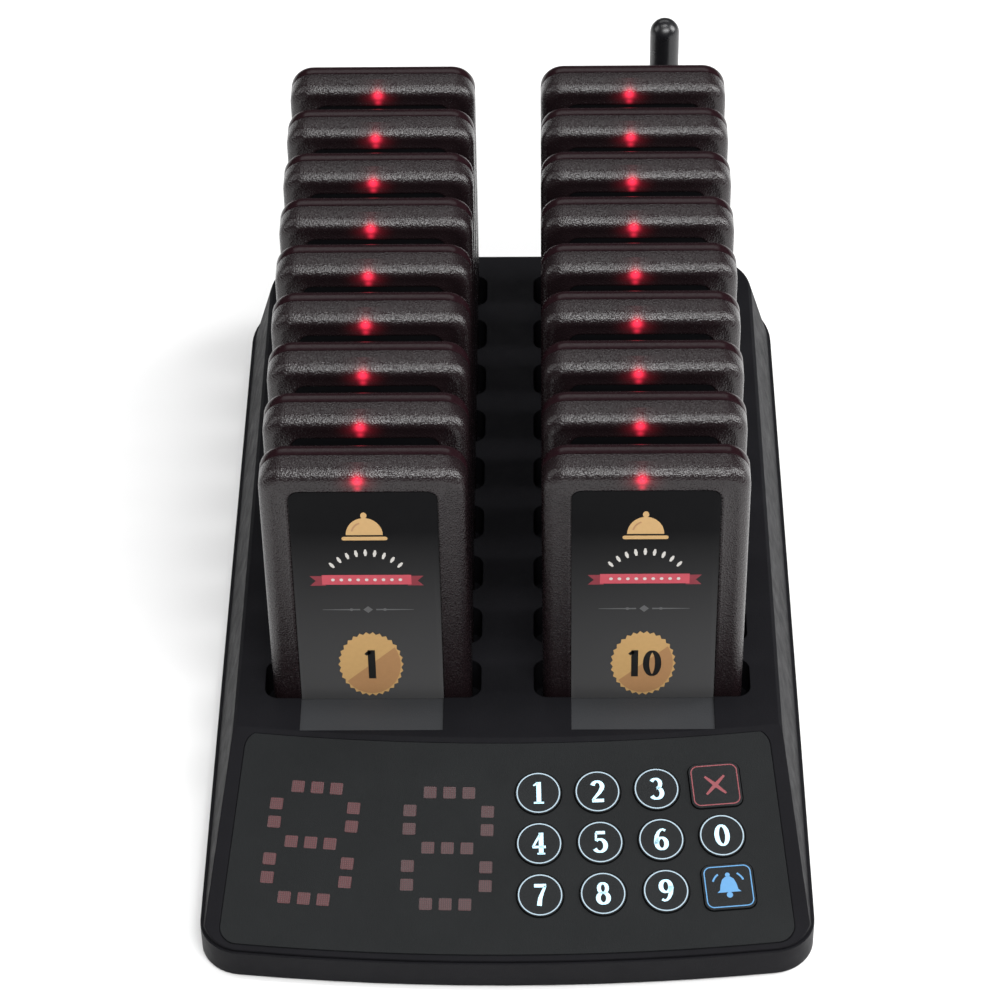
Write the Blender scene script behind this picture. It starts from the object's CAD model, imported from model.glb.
import math

import bmesh
import bpy
from mathutils import Matrix, Vector


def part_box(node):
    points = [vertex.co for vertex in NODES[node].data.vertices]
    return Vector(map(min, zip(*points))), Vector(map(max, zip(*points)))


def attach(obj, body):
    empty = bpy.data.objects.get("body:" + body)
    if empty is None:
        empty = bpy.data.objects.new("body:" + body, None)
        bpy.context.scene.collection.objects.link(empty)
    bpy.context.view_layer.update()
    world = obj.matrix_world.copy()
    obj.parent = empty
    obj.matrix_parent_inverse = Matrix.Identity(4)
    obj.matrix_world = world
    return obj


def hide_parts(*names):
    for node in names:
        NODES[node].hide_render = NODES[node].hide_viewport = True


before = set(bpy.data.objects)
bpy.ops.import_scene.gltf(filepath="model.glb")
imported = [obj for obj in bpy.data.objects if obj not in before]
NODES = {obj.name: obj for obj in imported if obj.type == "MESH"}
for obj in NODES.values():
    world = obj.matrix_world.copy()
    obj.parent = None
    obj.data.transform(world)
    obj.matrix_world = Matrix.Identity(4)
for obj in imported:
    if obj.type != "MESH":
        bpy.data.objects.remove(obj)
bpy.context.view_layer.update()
MM = 0.001
PAGERS = range(1, 19)
SHARP = math.radians(35)

# the sunk pads in front of the two rows, in metres
PAD_W = 0.04
PAD_L = 0.0126
PAD_DEPTH = 0.0004
SLOT_GAP = 0.0005

KEYS = ["1", "2", "3", "delete", "4", "5", "6", "0", "7", "8", "9", "call"]

# ---------- node materials ----------


class Nodes:
    """A material's node tree with short ways to add and join nodes."""

    def __init__(self, name):
        self.mat = bpy.data.materials.new(name)
        self.mat.use_nodes = True
        self.tree = self.mat.node_tree
        self.tree.nodes.clear()
        self.out = self.tree.nodes.new("ShaderNodeOutputMaterial")
        self.bsdf = self.tree.nodes.new("ShaderNodeBsdfPrincipled")
        self.tree.links.new(self.bsdf.outputs[0], self.out.inputs[0])
        self.coord = self.tree.nodes.new("ShaderNodeTexCoord")

    def add(self, kind, **inputs):
        node = self.tree.nodes.new(kind)
        for key, value in inputs.items():
            self.put(node, key.replace("_", " "), value)
        return node

    def put(self, node, key, value):
        socket = node.inputs[key]
        if isinstance(value, bpy.types.NodeSocket):
            self.tree.links.new(value, socket)
        else:
            socket.default_value = value

    def place(self):
        return self.coord.outputs["Object"]

    def noise(self, scale, detail=4.0, rough=0.55):
        node = self.add("ShaderNodeTexNoise", Scale=scale, Detail=detail, Roughness=rough)
        self.tree.links.new(self.place(), node.inputs["Vector"])
        return node.outputs["Fac"]

    def cells(self, scale):
        node = self.add("ShaderNodeTexVoronoi", Scale=scale)
        node.feature = "SMOOTH_F1"
        self.tree.links.new(self.place(), node.inputs["Vector"])
        return node.outputs["Distance"]

    def math(self, op, a, b=0.0, c=0.0):
        """One step of arithmetic on numbers or sockets."""
        node = self.tree.nodes.new("ShaderNodeMath")
        node.operation = op
        for i, value in enumerate((a, b, c)):
            self.put(node, i, value)
        return node.outputs[0]

    def ramp(self, fac, lo, hi, from_lo=0.3, from_hi=0.7):
        """From lo to hi while fac goes from from_lo to from_hi."""
        node = self.add("ShaderNodeMapRange", Value=fac)
        self.put(node, "From Min", from_lo)
        self.put(node, "From Max", from_hi)
        self.put(node, "To Min", lo)
        self.put(node, "To Max", hi)
        return node.outputs[0]

    def split(self):
        """The three object coordinates, in metres."""
        node = self.tree.nodes.new("ShaderNodeSeparateXYZ")
        self.tree.links.new(self.place(), node.inputs[0])
        return node.outputs

    def mix(self, fac, a, b):
        node = self.tree.nodes.new("ShaderNodeMix")
        node.data_type = "RGBA"
        self.put(node, 0, fac)
        self.put(node, 6, a)
        self.put(node, 7, b)
        return node.outputs[2]

    def bump(self, height, strength, distance, rounding=0.0):
        node = self.add("ShaderNodeBump", Height=height, Strength=strength, Distance=distance)
        if rounding:
            soft = self.add("ShaderNodeBevel", Radius=rounding)
            soft.samples = 4
            self.tree.links.new(soft.outputs[0], node.inputs["Normal"])
        self.put(self.bsdf, "Normal", node.outputs[0])

    def set(self, **values):
        for key, value in values.items():
            self.put(self.bsdf, key.replace("_", " "), value)


def rgba(colour, gain=1.0):
    return (colour[0] * gain, colour[1] * gain, colour[2] * gain, 1.0)


def moulded(name, colour, rough, grain, depth, spec=0.5, rounding=0.0, vary=0.25):
    """Moulded plastic: a fine texture, faint cloudiness in colour and gloss."""
    n = Nodes(name)
    cloud = n.noise(45.0, 5.0)
    n.set(Base_Color=n.mix(cloud, rgba(colour, 1 - vary), rgba(colour, 1 + vary)))
    n.set(Roughness=n.ramp(n.noise(220.0, 3.0), max(rough - 0.06, 0.03), min(rough + 0.06, 1.0)))
    n.put(n.bsdf, "Specular IOR Level", spec)
    n.bump(n.noise(grain, 2.0, 0.6), depth, 0.0002, rounding)
    return n.mat


def base_shell(name, colour, pad_colour):
    """The shell's moulded plastic, paler on the two sunk pads in front of the rows."""
    lo, hi = (Vector(v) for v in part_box("pager_01_front_case"))
    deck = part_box("base_top_shell")[1][2]
    n = Nodes(name)
    x, y, z = n.split()
    across = n.math("COMPARE", n.math("ABSOLUTE", x), abs(lo.x + hi.x) / 2, PAD_W / 2)
    along = n.math("COMPARE", y, lo.y - SLOT_GAP - PAD_L / 2, PAD_L / 2)
    level = n.math("COMPARE", z, deck - PAD_DEPTH, PAD_DEPTH / 2)
    mask = n.math("MULTIPLY", n.math("MULTIPLY", across, along), level)
    cloud = n.noise(45.0, 5.0)
    plain = n.mix(cloud, rgba(colour, 0.75), rgba(colour, 1.25))
    pad = n.mix(cloud, rgba(pad_colour, 0.9), rgba(pad_colour, 1.1))
    n.set(Base_Color=n.mix(mask, plain, pad))
    n.set(Roughness=n.ramp(n.noise(220.0, 3.0), 0.38, 0.5))
    n.put(n.bsdf, "Specular IOR Level", 0.025)
    n.bump(n.noise(2600.0, 2.0, 0.6), 0.3, 0.0002, 0.0005)
    return n.mat


def label_print(name, low, high):
    """A satin print that fades from grey near the foot to black at the top."""
    n = Nodes(name)
    z = n.split()[2]
    fade = n.ramp(z, 0.0, 1.0, 14 * MM, 74 * MM)
    n.set(Base_Color=n.mix(fade, rgba(low), rgba(high)))
    n.set(Roughness=n.ramp(n.noise(220.0, 3.0), 0.3, 0.4))
    n.put(n.bsdf, "Specular IOR Level", 0.05)
    n.bump(n.noise(900.0, 2.0, 0.6), 0.03, 0.0002)
    return n.mat


def metal(name, colour, rough):
    """Plated metal, with faint patches in colour and gloss."""
    n = Nodes(name)
    n.set(Base_Color=n.mix(n.noise(300.0), rgba(colour, 0.8), rgba(colour)))
    n.set(Metallic=1.0, Roughness=n.ramp(n.noise(900.0), rough - 0.05, rough + 0.08))
    n.bump(n.noise(2600.0, 2.0), 0.15, 0.0001)
    return n.mat


def board(name):
    """Solder mask over copper tracks, with a fine weave."""
    n = Nodes(name)
    wave = n.add("ShaderNodeTexWave", Scale=260.0, Distortion=3.0)
    n.tree.links.new(n.place(), wave.inputs["Vector"])
    track = n.ramp(wave.outputs["Fac"], 0.0, 1.0, 0.62, 0.68)
    n.set(Base_Color=n.mix(track, rgba((0.012, 0.11, 0.05)), rgba((0.03, 0.2, 0.085))))
    n.set(Roughness=0.32)
    n.bump(track, 0.3, 0.0001)
    return n.mat


def ink(name, colour):
    """Printing ink of uneven thickness."""
    n = Nodes(name)
    n.set(Base_Color=n.mix(n.noise(700.0, 3.0), rgba(colour, 0.86), rgba(colour)))
    n.set(Roughness=0.4)
    n.bump(n.noise(3000.0, 2.0), 0.06, 0.0001)
    return n.mat


LAMP_X = -1.2


def pager_plastic(name, colour, rough, grain, depth, lamp):
    """Smoky translucent plastic.  The lamp's glow spreads from a place on the top edge."""
    n = Nodes(name)
    cloud = n.noise(90.0, 4.0)
    n.set(Base_Color=n.mix(cloud, rgba(colour, 0.7), rgba(colour, 1.3)))
    n.set(Roughness=n.ramp(n.noise(1500.0, 3.0), rough - 0.06, rough + 0.08))
    n.put(n.bsdf, "Specular IOR Level", 0.42 if lamp else 0.12)
    if lamp:
        x, y, z = n.split()

        def glow(height, wide, high, power):
            """A soft spot on the lamp's line, with its height and half sizes in mm."""
            dx = n.math("DIVIDE", n.math("SUBTRACT", x, LAMP_X * MM), wide * MM)
            dz = n.math("DIVIDE", n.math("SUBTRACT", z, height * MM), high * MM)
            square = n.math("ADD", n.math("MULTIPLY", dx, dx), n.math("MULTIPLY", dz, dz))
            return n.math("MULTIPLY", n.math("EXPONENT", n.math("MULTIPLY", square, -1.0)), power)

        total = n.math("ADD", glow(92.3, 1.35, 1.25, 1.7), glow(89.9, 0.9, 0.7, 0.6))
        total = n.math("ADD", total, glow(91.6, 3.6, 2.2, 0.12))
        front = n.math("LESS_THAN", y, 5.0 * MM)
        n.put(n.bsdf, "Emission Color", (1.0, 0.03, 0.075, 1.0))
        n.put(n.bsdf, "Emission Strength", n.math("MULTIPLY", total, front))
    n.bump(n.cells(grain), depth, 0.0004)
    return n.mat


def dots_material(name, lit):
    """A dim red dot with the crossed lattice of its diffuser."""
    n = Nodes(name)
    half = 0.00029
    lines = [n.math("DIVIDE", n.math("PINGPONG", way, half), half) for way in n.split()[:2]]
    fac = n.math("MULTIPLY", lines[0], lines[1])
    n.set(Base_Color=n.mix(n.ramp(fac, 0.0, 1.0, 0.1, 0.7), rgba(lit, 0.3), rgba(lit)), Roughness=0.45)
    n.bump(fac, 0.4, 0.0001)
    return n.mat


M = {
    "shell": base_shell("shell_plastic", (0.007, 0.0069, 0.0081), (0.029, 0.03, 0.032)),
    "tray": moulded("tray_plastic", (0.0068, 0.0067, 0.008), 0.44, 2400.0, 0.3, 0.06, rounding=0.0004),
    "film": moulded("overlay_film", (0.0112, 0.012, 0.0125), 0.55, 4200.0, 0.7, 0.05,
                    rounding=0.0002, vary=0.18),
    "key": moulded("key_plastic", (0.0098, 0.0108, 0.0116), 0.5, 4200.0, 0.6, 0.1, rounding=0.0003),
    "front": pager_plastic("pager_front", (0.0078, 0.0045, 0.0053), 0.24, 2700.0, 0.38, True),
    "rear": pager_plastic("pager_rear", (0.0085, 0.003, 0.0042), 0.22, 500.0, 0.03, False),
    "label": label_print("label_print", (0.064, 0.064, 0.065), (0.0035, 0.0035, 0.004)),
    "antenna": moulded("antenna_plastic", (0.006, 0.006, 0.007), 0.3, 1500.0, 0.12, 0.45, rounding=0.0002),
    "rubber": moulded("rubber", (0.012, 0.012, 0.012), 0.85, 1800.0, 0.6, 0.2),
    "steel": metal("screw_steel", (0.6, 0.6, 0.62), 0.3),
    "switch": metal("switch_metal", (0.55, 0.55, 0.56), 0.35),
    "gold": metal("gold_contact", (0.8, 0.6, 0.28), 0.24),
    "board": board("circuit_board"),
    "connector": moulded("connector_plastic", (0.01, 0.01, 0.011), 0.5, 1800.0, 0.3, 0.35),
    "cable": moulded("cable_plastic", (0.1, 0.11, 0.12), 0.45, 1200.0, 0.2, 0.4),
    "foil": metal("battery_foil", (0.62, 0.63, 0.65), 0.38),
    "block": moulded("display_block", (0.05, 0.006, 0.01), 0.4, 1500.0, 0.2, 0.4),
    "lens": moulded("lamp_lens", (0.75, 0.03, 0.06), 0.2, 900.0, 0.1, 0.5),
    "dots_left": dots_material("dots_left", (0.085, 0.009, 0.013)),
    "dots_right": dots_material("dots_right", (0.055, 0.009, 0.012)),
    "ring": ink("key_ring", (0.27, 0.36, 0.42)),
    "numeral": ink("key_numeral", (0.47, 0.76, 0.9)),
    "cross": ink("delete_icon", (0.16, 0.012, 0.02)),
    "bell": ink("call_icon", (0.05, 0.2, 0.4)),
    "gold_ink": ink("gold_ink", (0.5, 0.31, 0.125)),
    "gold_dark": ink("gold_ink_dark", (0.37, 0.2, 0.088)),
    "ribbon": ink("ribbon_ink", (0.47, 0.06, 0.085)),
    "pale_ink": ink("pale_ink", (0.55, 0.53, 0.5)),
    "ribbon_dark": ink("ribbon_ink_dark", (0.2, 0.02, 0.032)),
    "grey_ink": ink("grey_ink", (0.09, 0.09, 0.092)),
    "black_ink": ink("black_ink", (0.006, 0.006, 0.006)),
}

CAD_LOOKS = {
    "base_bottom_tray": "tray", "base_top_shell": "shell", "panel_overlay": "film",
    "rubber_feet": "rubber", "case_screws": "steel", "board_screws": "steel",
    "main_board": "board", "charging_board_left": "board", "charging_board_right": "board",
    "radio_module": "board", "key_switches": "switch", "display_digit_left": "block",
    "display_digit_right": "block", "charging_studs_left": "gold", "charging_studs_right": "gold",
    "antenna_jack": "gold", "dc_inlet": "connector", "ribbon_cable": "cable",
    "antenna_knuckle": "antenna", "pager_01_board": "board", "pager_01_lamp": "lens",
    "pager_01_battery": "foil", "pager_01_motor": "steel", "pager_01_contacts": "gold",
    "pager_01_screws": "steel",
}
for key in KEYS:
    CAD_LOOKS["key_" + key] = "key"
for node, look in CAD_LOOKS.items():
    for slot in NODES[node].material_slots:
        slot.material = M[look]

# ---------- mesh helpers, in millimetres ----------


def rounded(w, h, r, cx=0.0, cy=0.0, steps=8):
    """Points of a rectangle with round corners, always 4 * (steps + 1) of them."""
    pts = []
    for sx, sy, start in ((1, 1, 0), (-1, 1, 90), (-1, -1, 180), (1, -1, 270)):
        for i in range(steps + 1):
            a = math.radians(start + 90 * i / steps)
            pts.append((cx + sx * (w / 2 - r) + r * math.cos(a), cy + sy * (h / 2 - r) + r * math.sin(a)))
    return pts


def loft(bm, loops, mat=0):
    """Joins loops of equally many points, and closes both ends."""
    rings = [[bm.verts.new(p) for p in loop] for loop in loops]
    for a, b in zip(rings, rings[1:]):
        for i in range(len(a)):
            j = (i + 1) % len(a)
            bm.faces.new((a[i], a[j], b[j], b[i])).material_index = mat
    for ring in (rings[0], rings[-1]):
        bm.faces.new(ring).material_index = mat


def prism(bm, pts, low, high, mat=0):
    """A flat plate with that outline in x and y, from z low to z high."""
    loft(bm, [[(x, y, low) for x, y in pts], [(x, y, high) for x, y in pts]], mat)


def band(bm, outer, inner, low, high, mat=0):
    """A flat ring between two outlines of equally many points."""
    n = len(outer)
    rings = [[bm.verts.new((x, y, z)) for x, y in pts] for pts, z in
             ((outer, low), (outer, high), (inner, high), (inner, low))]
    for k in range(4):
        a, b = rings[k], rings[(k + 1) % 4]
        for i in range(n):
            j = (i + 1) % n
            bm.faces.new((a[i], a[j], b[j], b[i])).material_index = mat


def stroke(bm, path, low, high, mat=0):
    """A brush stroke along (x, y, width) points."""
    left, right = [], []
    for i, (x, y, w) in enumerate(path):
        a = path[max(i - 1, 0)]
        b = path[min(i + 1, len(path) - 1)]
        d = Vector((b[0] - a[0], b[1] - a[1]))
        d = d.normalized() if d.length > 1e-9 else Vector((1, 0))
        left.append((x - d.y * w / 2, y + d.x * w / 2))
        right.append((x + d.y * w / 2, y - d.x * w / 2))
    prism(bm, left + right[::-1], low, high, mat)


def circle(cx, cy, r, n=32):
    turns = [2 * math.pi * i / n for i in range(n)]
    return [(cx + r * math.cos(a), cy + r * math.sin(a)) for a in turns]


def mark_sharp(bm):
    for e in bm.edges:
        if len(e.link_faces) == 2 and e.calc_face_angle(0) > SHARP:
            e.smooth = False


def finish_mesh(bm, name, mats, smooth=True):
    """Turns millimetres into metres and makes the mesh."""
    bmesh.ops.recalc_face_normals(bm, faces=bm.faces)
    bmesh.ops.scale(bm, vec=(MM, MM, MM), verts=bm.verts)
    mark_sharp(bm)
    for f in bm.faces:
        f.smooth = smooth
    mesh = bpy.data.meshes.new(name)
    bm.to_mesh(mesh)
    bm.free()
    for m in mats:
        mesh.materials.append(M[m])
    return mesh


def cut(mesh, cutter, name):
    """The mesh less the cutter, with its sharp edges marked."""
    pair = [bpy.data.objects.new(name + "_whole", mesh), bpy.data.objects.new(name + "_cutter", cutter)]
    for obj in pair:
        bpy.context.scene.collection.objects.link(obj)
    boolean = pair[0].modifiers.new("cut", "BOOLEAN")
    boolean.operation = "DIFFERENCE"
    boolean.solver = "EXACT"
    boolean.object = pair[1]
    graph = bpy.context.evaluated_depsgraph_get()
    result = bpy.data.meshes.new_from_object(pair[0].evaluated_get(graph))
    result.name = name
    for obj in pair:
        bpy.data.objects.remove(obj)
    bm = bmesh.new()
    bm.from_mesh(result)
    mark_sharp(bm)
    bm.to_mesh(result)
    bm.free()
    return result


def along_y(bm, sections):
    """Joins outlines in x and z, each given with its y."""
    loft(bm, [[(x, y, z) for x, z in pts] for pts, y in sections])


def piece(name, mesh, matrix, body):
    """Puts a mesh in the scene, riding on a body."""
    obj = bpy.data.objects.new(name, mesh)
    bpy.context.scene.collection.objects.link(obj)
    obj.matrix_world = matrix
    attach(obj, body)
    return obj


# ---------- numerals, drawn with strokes in a box 0.6 wide and 1 high ----------


def arc(cx, cy, rx, ry, a0, a1, thin, thick, n=22):
    """Brush points from angle a0 to a1, thick at the sides and thin at top and foot."""
    pts = []
    for i in range(n + 1):
        a = math.radians(a0 + (a1 - a0) * i / n)
        w = thin + (thick - thin) * abs(math.cos(a))
        pts.append((cx + rx * math.cos(a), cy + ry * math.sin(a), w))
    return pts


THIN, THICK = 0.085, 0.19
SIX = [(0.19, 0.38, 0.11), (0.1, 0.44, 0.09), (0.0, 0.42, 0.1), (-0.1, 0.32, 0.13), (-0.18, 0.14, 0.17),
       (-0.215, -0.1, 0.19), (-0.21, -0.2, 0.19)]
NUMERALS = {
    "0": [arc(0, 0, 0.22, 0.44, 0, 360, THIN, THICK, 40)],
    "1": [[(0.02, 0.49, THICK), (0.02, -0.46, THICK)], [(-0.2, 0.33, 0.06), (-0.02, 0.45, 0.12)],
          [(-0.19, -0.455, 0.08), (0.23, -0.455, 0.08)]],
    "2": [arc(0, 0.22, 0.2, 0.23, 165, -25, THIN, THICK)
          + [(0.08, -0.05, 0.15), (-0.08, -0.23, 0.11), (-0.22, -0.4, 0.09)],
          [(-0.24, -0.42, 0.15), (0.25, -0.42, 0.15)]],
    "3": [arc(-0.02, 0.23, 0.19, 0.22, 150, -85, THIN, 0.17),
          arc(-0.02, -0.2, 0.23, 0.25, 85, -150, THIN, THICK)],
    "4": [[(0.08, 0.48, 0.19), (0.08, -0.47, 0.19)], [(0.06, 0.44, 0.09), (-0.26, -0.15, 0.09)],
          [(-0.28, -0.16, 0.11), (0.27, -0.16, 0.11)], [(-0.08, -0.46, 0.07), (0.24, -0.46, 0.07)]],
    "5": [[(-0.17, 0.42, 0.14), (0.21, 0.42, 0.14)], [(-0.16, 0.42, 0.09), (-0.18, 0.06, 0.08)],
          arc(-0.03, -0.16, 0.24, 0.28, 125, -150, THIN, THICK)],
    "6": [SIX, arc(0, -0.19, 0.2, 0.255, 0, 360, THIN, THICK, 40)],
    "7": [[(-0.24, 0.41, 0.15), (0.25, 0.41, 0.15)],
          [(0.22, 0.4, 0.1), (0.1, 0.12, 0.13), (0.0, -0.16, 0.17), (-0.04, -0.48, 0.2)]],
    "8": [arc(0, 0.235, 0.165, 0.215, 0, 360, THIN, 0.16, 36),
          arc(0, -0.21, 0.21, 0.24, 0, 360, THIN, THICK, 40)],
    # a one without feet, for the seals
    "i": [[(0.03, 0.49, 0.2), (0.03, -0.49, 0.2)], [(-0.17, 0.33, 0.09), (-0.01, 0.44, 0.14)]],
}
NUMERALS["9"] = [[(-x, -y, w) for x, y, w in path] for path in NUMERALS["6"]]


def numeral(bm, text, cx, cy, height, low, high, mat=0, tall=1.0, bold=1.0):
    """A number centred on a place, stretched upwards by tall."""
    step = 0.6 * height * bold ** 0.5
    for i, char in enumerate(text):
        x0 = cx + (i - (len(text) - 1) / 2) * step
        for path in NUMERALS[char]:
            points = [(x0 + x * height, cy + y * height * tall, w * height * bold) for x, y, w in path]
            stroke(bm, points, low, high, mat)


# ---------- keypad: printing on the keys ----------

SLOPE = math.radians(17.8)
FRONT_R = 636.0
CREASE_R = 572.0
FRONT_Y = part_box("base_bottom_tray")[0][1] / MM
ARC_Y = FRONT_Y + FRONT_R
DECK_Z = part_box("base_top_shell")[1][2] / MM


def on_panel(r, degrees, lift):
    """Matrix of a place on the panel, in metres: x across, y up the slope, z out of it."""
    z = DECK_Z - (r - CREASE_R) * math.tan(SLOPE)
    m = Matrix.Translation((0, ARC_Y * MM, 0)) @ Matrix.Rotation(math.radians(degrees), 4, "Z")
    m = m @ Matrix.Translation((0, -r * MM, z * MM)) @ Matrix.Rotation(SLOPE, 4, "X")
    return m @ Matrix.Translation((0, 0, lift * MM))


KEY_R = 588.4
KEY_ANGLE = 0.838
ROW_STEP = 15.2 * math.cos(SLOPE)
COL_STEP = math.degrees(16.7 / (KEY_R + ROW_STEP))
KEY_TOP = 0.6
INK = 0.03
UNDER = -0.02
CROSS_STEP = 0.004


def square_outline(bm):
    band(bm, rounded(12.9, 12.1, 2.0), rounded(12.3, 11.5, 1.7), UNDER, INK, 1)


for index, key in enumerate(KEYS):
    row, col = divmod(index, 4)
    place = on_panel(KEY_R + row * ROW_STEP, KEY_ANGLE + col * COL_STEP, KEY_TOP)
    bm = bmesh.new()
    if key == "delete":
        square_outline(bm)
        for s in (-1, 1):
            bar = [(-2.7, -2.7 * s, 0.6), (0, 0, 1.15), (2.7, 2.7 * s, 0.6)]
            stroke(bm, bar, UNDER, INK + CROSS_STEP * s, 1)
        mats = ["ring", "cross"]
    elif key == "call":
        square_outline(bm)
        dome = [(-3.3, -1.7), (-2.5, -1.0), (-2.2, 0.6), (-1.6, 2.1), (-0.6, 2.9), (0.6, 2.9),
                (1.6, 2.1), (2.2, 0.6), (2.5, -1.0), (3.3, -1.7)]
        prism(bm, dome, UNDER, INK, 1)
        prism(bm, circle(0, 3.4, 0.65, 20), UNDER, INK, 1)
        prism(bm, circle(0, -2.5, 0.85, 20), UNDER, INK, 1)
        for s in (-1, 1):
            stroke(bm, arc(0, 0, 4.5, 4.5, 90 - s * 35, 90 - s * 68, 0.5, 0.5, 8), UNDER, INK, 1)
        mats = ["ring", "bell"]
    else:
        band(bm, circle(0, 0, 6.0, 64), circle(0, 0, 5.68, 64), UNDER, INK, 0)
        numeral(bm, key, 0, 0, 6.6, UNDER, INK, 1)
        mats = ["ring", "numeral"]
    mesh = finish_mesh(bm, "print_key_" + key, mats, smooth=False)
    piece("print_key_" + key, mesh, place, "key_" + key)

# ---------- display dots under the film ----------

DIGIT_R = 604.0
DOT, DOT_CORNER = 3.5, 0.35
DOT_ACROSS, DOT_DOWN = 5.35, 5.53
DOT_LIFT = 0.1

for side, angle in (("left", -5.11), ("right", -1.545)):
    bm = bmesh.new()
    for col in range(5):
        for row in range(7):
            if (col in (0, 4)) != (row in (0, 3, 6)):
                x, y = (col - 2) * DOT_ACROSS, (3 - row) * DOT_DOWN
                prism(bm, rounded(DOT, DOT, DOT_CORNER, x, y, 3), UNDER, INK)
    mesh = finish_mesh(bm, "display_dots_" + side, ["dots_" + side], smooth=False)
    piece("display_dots_" + side, mesh, on_panel(DIGIT_R, angle, DOT_LIFT), "base")

# ---------- pagers ----------

# width, thickness, height and corner radius, then the radius of the long edges
PW, PT, PH, PR = 56.0, 14.0, 95.0, 7.0
EDGE = 3.7
LABEL_Z, LABEL_W, LABEL_H, LABEL_R = 47.25, 40.0, 82.5, 3.0
LABEL_FACE = 0.2


def body_loop(inset, y):
    """The case's outline, that far inside its full size."""
    pts = rounded(PW - 2 * inset, PH - 2 * inset, max(PR - inset, 0.6), 0, PH / 2)
    return [(x, y, z) for x, z in pts]


def label_loop(grow, y):
    """The label's outline, that far outside it."""
    pts = rounded(LABEL_W + 2 * grow, LABEL_H + 2 * grow, LABEL_R + grow, 0, LABEL_Z)
    return [(x, y, z) for x, z in pts]


def fillet(front, face_y):
    """The round edge between the case's sides and its front or back."""
    loops = []
    for i in range(10):
        a = math.radians(10 * i)
        depth = (EDGE - face_y) * (1 - math.sin(a)) + face_y
        loops.append(body_loop(EDGE * (1 - math.cos(a)), depth if front else PT - depth))
    return loops


bm = bmesh.new()
loft(bm, [body_loop(1.0, 8.0), body_loop(0.2, 8.0), body_loop(0.04, 7.93), body_loop(0.0, 7.8)]
     + fillet(True, 0.14)
     + [label_loop(1.25, 0.14), label_loop(1.0, 0.03), label_loop(0.8, 0.0), label_loop(0.5, 0.0),
        label_loop(0.25, 0.08), label_loop(0.15, 0.3), label_loop(0.15, 0.64)])
FRONT_MESH = finish_mesh(bm, "pager_front_mesh", ["front"])

bm = bmesh.new()
loft(bm, [body_loop(1.0, 8.1), body_loop(0.2, 8.1), body_loop(0.04, 8.17), body_loop(0.0, 8.3)]
     + fillet(False, 0.0))
whole = finish_mesh(bm, "pager_rear_whole", ["rear"])

# screw recesses in the back and contact holes in the foot
POSTS = [(sx * 22.4, z) for sx in (-1, 1) for z in (9.5, 84.0)]
CONTACTS = [(-10.0, 10.4), (10.0, 10.4)]
HEAD_Y = 12.5
bm = bmesh.new()
for x, z in POSTS:
    along_y(bm, [(circle(x, z, 2.2), HEAD_Y - 0.04), (circle(x, z, 2.2), 13.8), (circle(x, z, 2.4), PT),
                 (circle(x, z, 2.4), PT + 1.0)])
for x, y in CONTACTS:
    prism(bm, circle(x, y, 1.7), -1.0, 3.0)
REAR_MESH = cut(whole, finish_mesh(bm, "pager_rear_cutter", ["rear"]), "pager_rear_mesh")

bm = bmesh.new()
for x, z in POSTS:
    along_y(bm, [(circle(x, z, 2.0), HEAD_Y), (circle(x, z, 2.0), 13.45), (circle(x, z, 1.86), 13.62),
                 (circle(x, z, 1.6), 13.7)])
heads = finish_mesh(bm, "pager_screw_heads", ["steel"])
bm = bmesh.new()
A, B = 0.25, 1.1
CROSS = [(A, B), (-A, B), (-A, A), (-B, A), (-B, -A), (-A, -A),
         (-A, -B), (A, -B), (A, -A), (B, -A), (B, A), (A, A)]
for x, z in POSTS:
    along_y(bm, [([(x + cx, z + cz) for cx, cz in CROSS], y) for y in (13.0, 14.5)])
SCREW_MESH = cut(heads, finish_mesh(bm, "pager_cross_cutter", ["steel"]), "pager_screw_mesh")

bm = bmesh.new()
for x, y in CONTACTS:
    sections = ((1.45, 0.9), (1.6, 1.05), (1.6, 2.6))
    loft(bm, [[(px, py, z) for px, py in circle(x, y, r)] for r, z in sections])
CONTACT_MESH = finish_mesh(bm, "pager_contact_mesh", ["gold"])

bm = bmesh.new()
loft(bm, [label_loop(0.0, 0.6), label_loop(0.0, 0.32), label_loop(-0.05, 0.23),
          label_loop(-0.15, LABEL_FACE)])
LABEL_MESH = finish_mesh(bm, "pager_label_mesh", ["label"])

# label print: x across, y up, z out of the label
SEAL_Z, SEAL_TALL = 23.5, 1.385
LINE_Z = 44.8
RIBBON_Z = 56.2
ARCH_Z = 48.2
PLATE_Z, DOME_Z, KNOB_Z = 71.6, 72.9, 80.0
GOLD_I, DARK_I, RIBBON_I, RIBBON_DARK_I, GREY_I, PALE_I = range(6)
ART_INKS = ["gold_ink", "gold_dark", "ribbon", "ribbon_dark", "grey_ink", "pale_ink"]


def ellipse(rx, ry, degrees):
    return [(rx * math.cos(math.radians(a)), ry * math.sin(math.radians(a))) for a in degrees]


def seal_shape(points):
    """The seal is drawn tall, so that it looks round from above."""
    return [(x, SEAL_Z + y * SEAL_TALL) for x, y in points]


bm = bmesh.new()

# a serving dome with its plate, knob and shine
prism(bm, [(x, DOME_Z + y) for x, y in ellipse(5.0, 6.2, range(0, 181, 9))], 0, INK, GOLD_I)
prism(bm, rounded(12.4, 1.3, 0.6, 0, PLATE_Z, 4), 0, INK, GOLD_I)
prism(bm, [(x, KNOB_Z + 1.35 * y) for x, y in circle(0, 0, 0.85, 24)], 0, INK, GOLD_I)
stroke(bm, arc(0, DOME_Z + 0.3, 3.5, 4.3, 165, 110, 0.5, 0.5, 10), INK, 2 * INK, DARK_I)

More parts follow.
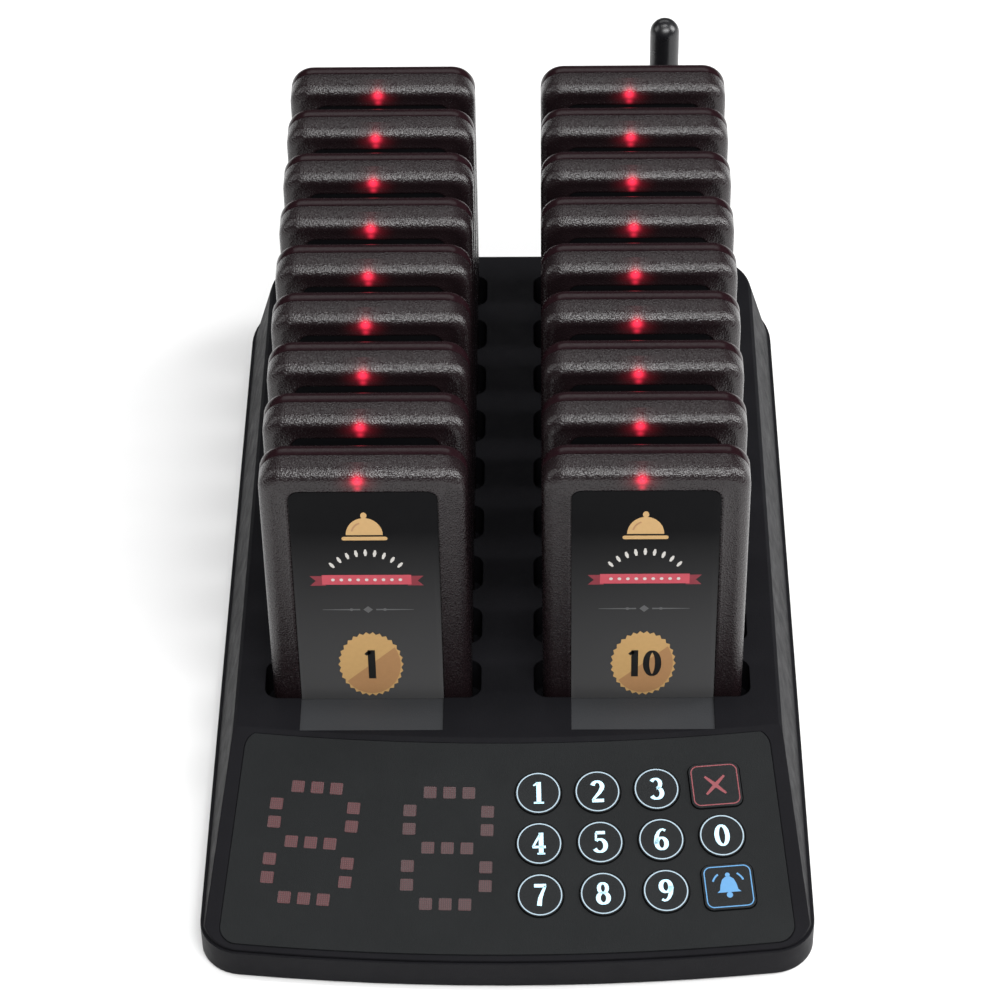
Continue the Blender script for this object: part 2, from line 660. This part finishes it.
# an arch of short bars
for i in range(-4, 5):
    a = math.radians(90 - i * 10.5)
    across, up = math.cos(a), math.sin(a)
    bar = [(rx * across, ARCH_Z + ry * up, w) for rx, ry, w in
           ((13.0, 16.9, 0.5), (13.9, 18.1, 1.0), (14.8, 19.3, 0.5))]
    stroke(bm, bar, 0, INK, PALE_I)

# a ribbon with tails and dots
tails = [(-15.5, 57.6), (-13.9, 55.8), (-15.5, 54.0), (-11.2, 54.0), (-11.2, 57.6)]
prism(bm, tails, 0, INK, RIBBON_DARK_I)
prism(bm, [(-x, y) for x, y in tails][::-1], 0, INK, RIBBON_DARK_I)
prism(bm, [(-12.2, RIBBON_Z + 1.8), (-12.2, RIBBON_Z - 1.8), (12.2, RIBBON_Z - 1.8), (12.2, RIBBON_Z + 1.8)],
      INK, 2 * INK, RIBBON_I)
for i in range(-4, 5):
    prism(bm, circle(i * 2.3, RIBBON_Z, 0.5, 14), 2 * INK, 3 * INK, PALE_I)

# a thin rule with a diamond
prism(bm, [(-1.3, LINE_Z), (0, LINE_Z - 1.3), (1.3, LINE_Z), (0, LINE_Z + 1.3)], 0, INK, GREY_I)
for s in (-1, 1):
    stroke(bm, [(s * x, LINE_Z, w) for x, w in ((2.2, 0.5), (7.5, 0.34), (12.5, 0.12))], 0, INK, GREY_I)
    prism(bm, circle(s * 4.6, LINE_Z, 0.5, 14), 0, 1.2 * INK, GREY_I)

# a two-tone seal with a toothed edge
TEETH = 30
edge = []
for i in range(2 * TEETH):
    a = math.pi * i / TEETH
    r = 9.1 if i % 2 == 0 else 8.45
    edge.append((r * math.cos(a), r * math.sin(a)))
prism(bm, seal_shape(edge), 0, INK, GOLD_I)
prism(bm, seal_shape(ellipse(8.3, 8.3, range(-145, 36, 9))), INK, 1.5 * INK, DARK_I)
ART_MESH = finish_mesh(bm, "label_art_mesh", ART_INKS, False)

STAND_UP = Matrix.Rotation(math.radians(90), 4, "X")
for number in PAGERS:
    body = "pager_%02d" % number
    lo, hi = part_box("pager_01_front_case" if number == 1 else body)
    at = Matrix.Translation(((lo[0] + hi[0]) / 2, lo[1], lo[2]))
    front = piece(body + "_look_front", FRONT_MESH, at, body)
    rear = piece(body + "_look_rear", REAR_MESH, at, body)
    label = piece(body + "_look_label", LABEL_MESH, at, body)
    printed = at @ Matrix.Translation((0, LABEL_FACE * MM, 0)) @ STAND_UP
    piece(body + "_art", ART_MESH, printed, body)
    bm = bmesh.new()
    size = 8.2 if number < 10 else 7.6
    numeral(bm, str(number).replace("1", "i"), 0, SEAL_Z, size, 2 * INK, 3 * INK, 0, SEAL_TALL, 1.25)
    mesh = finish_mesh(bm, body + "_number", ["black_ink"], False)
    piece(body + "_number", mesh, printed, body)
    if number == 1:
        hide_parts("pager_01_front_case")
        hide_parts("pager_01_rear_case")
        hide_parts("pager_01_label")
    else:
        piece(body + "_look_screws", SCREW_MESH, at, body)
        piece(body + "_look_contacts", CONTACT_MESH, at, body)
        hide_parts(body)

# ---------- antenna whip ----------

lo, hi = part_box("antenna_whip")
axis_x, axis_y = (lo[0] + hi[0]) / 2, (lo[1] + hi[1]) / 2
top = hi[2] / MM
FOOT_Z = 20.0
WHIP_R = 4.5
TURN = 48
profile = [(3.4, FOOT_Z + 5.0), (4.6, FOOT_Z + 5.2), (4.88, FOOT_Z + 5.7)]
for k in range(4):
    z = FOOT_Z + 6.4 + k * 1.5
    profile += [(4.86 - 0.04 * k, z), (WHIP_R, z + 0.3), (WHIP_R, z + 0.8), (4.84 - 0.04 * k, z + 1.1)]
profile += [(r, FOOT_Z + z) for r, z in ((4.66, 13.6), (WHIP_R, 14.1), (4.44, 14.3), (WHIP_R, 14.6))]
profile.append((WHIP_R, top - WHIP_R))
profile += [(r, top - WHIP_R + z) for r, z in ellipse(WHIP_R, WHIP_R, range(8, 89, 8))]
bm = bmesh.new()
loft(bm, [[(x, y, z) for x, y in circle(0, 0, r, TURN)] for r, z in profile])
prism(bm, rounded(5.5, 6.8, 1.0, 0, 0, 4), FOOT_Z - 3.4, FOOT_Z + 5.4)
whip_mesh = finish_mesh(bm, "whip_mesh", ["antenna"])
whip_at = Matrix.Translation((axis_x, axis_y, 0))
whip = piece("antenna_whip_look", whip_mesh, whip_at, "antenna_whip")
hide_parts("antenna_whip")

# ---------- floor, light and camera ----------

n = Nodes("floor_white")
n.set(Base_Color=n.mix(n.noise(3.0), (0.73, 0.73, 0.73, 1), (0.75, 0.75, 0.75, 1)), Roughness=0.7)
bm = bmesh.new()
bmesh.ops.create_grid(bm, x_segments=8, y_segments=8, size=4.0)
floor_mesh = bpy.data.meshes.new("floor_mesh")
bm.to_mesh(floor_mesh)
bm.free()
floor_mesh.materials.append(n.mat)
floor = bpy.data.objects.new("floor", floor_mesh)
bpy.context.scene.collection.objects.link(floor)

world = bpy.data.worlds.new("studio")
bpy.context.scene.world = world
world.use_nodes = True
world.node_tree.nodes["Background"].inputs[0].default_value = (1.0, 1.0, 1.0, 1.0)
world.node_tree.nodes["Background"].inputs[1].default_value = 0.07


def softbox(name, place, target, size, power):
    """A soft light aimed at a target, in metres and watts."""
    light = bpy.data.lights.new(name, "AREA")
    light.shape = "RECTANGLE"
    light.size, light.size_y = size
    light.energy = power
    obj = bpy.data.objects.new(name, light)
    bpy.context.scene.collection.objects.link(obj)
    obj.location = place
    obj.rotation_euler = (Vector(target) - Vector(place)).to_track_quat("-Z", "Y").to_euler()


softbox("soft_front", (0.38, -1.3, 1.75), (0, 0.1, 0), (1.7, 0.8), 62.0)
softbox("soft_back", (0.0, 1.35, 1.3), (0, 0, 0.08), (1.5, 0.5), 5.5)
softbox("soft_left", (-1.6, 0.1, 1.0), (0, 0, 0.03), (0.9, 1.1), 10.0)
softbox("soft_right", (1.6, 0.1, 1.0), (0, 0, 0.03), (0.9, 1.1), 38.0)
softbox("soft_top", (0.0, 0.05, 1.7), (0, 0.02, 0.1), (1.1, 0.12), 11.0)

camera = bpy.data.cameras.new("camera")
camera.sensor_width = 36.0
camera.lens = 127.89
camera.clip_start = 0.05
cam = bpy.data.objects.new("camera", camera)
bpy.context.scene.collection.objects.link(cam)
cam.location = (0.011609, -0.766303, 0.747210)
cam.rotation_euler = tuple(math.radians(a) for a in (47.389, 0.712, 0.394))
bpy.context.scene.camera = cam
bpy.context.scene.view_settings.view_transform = "Standard"
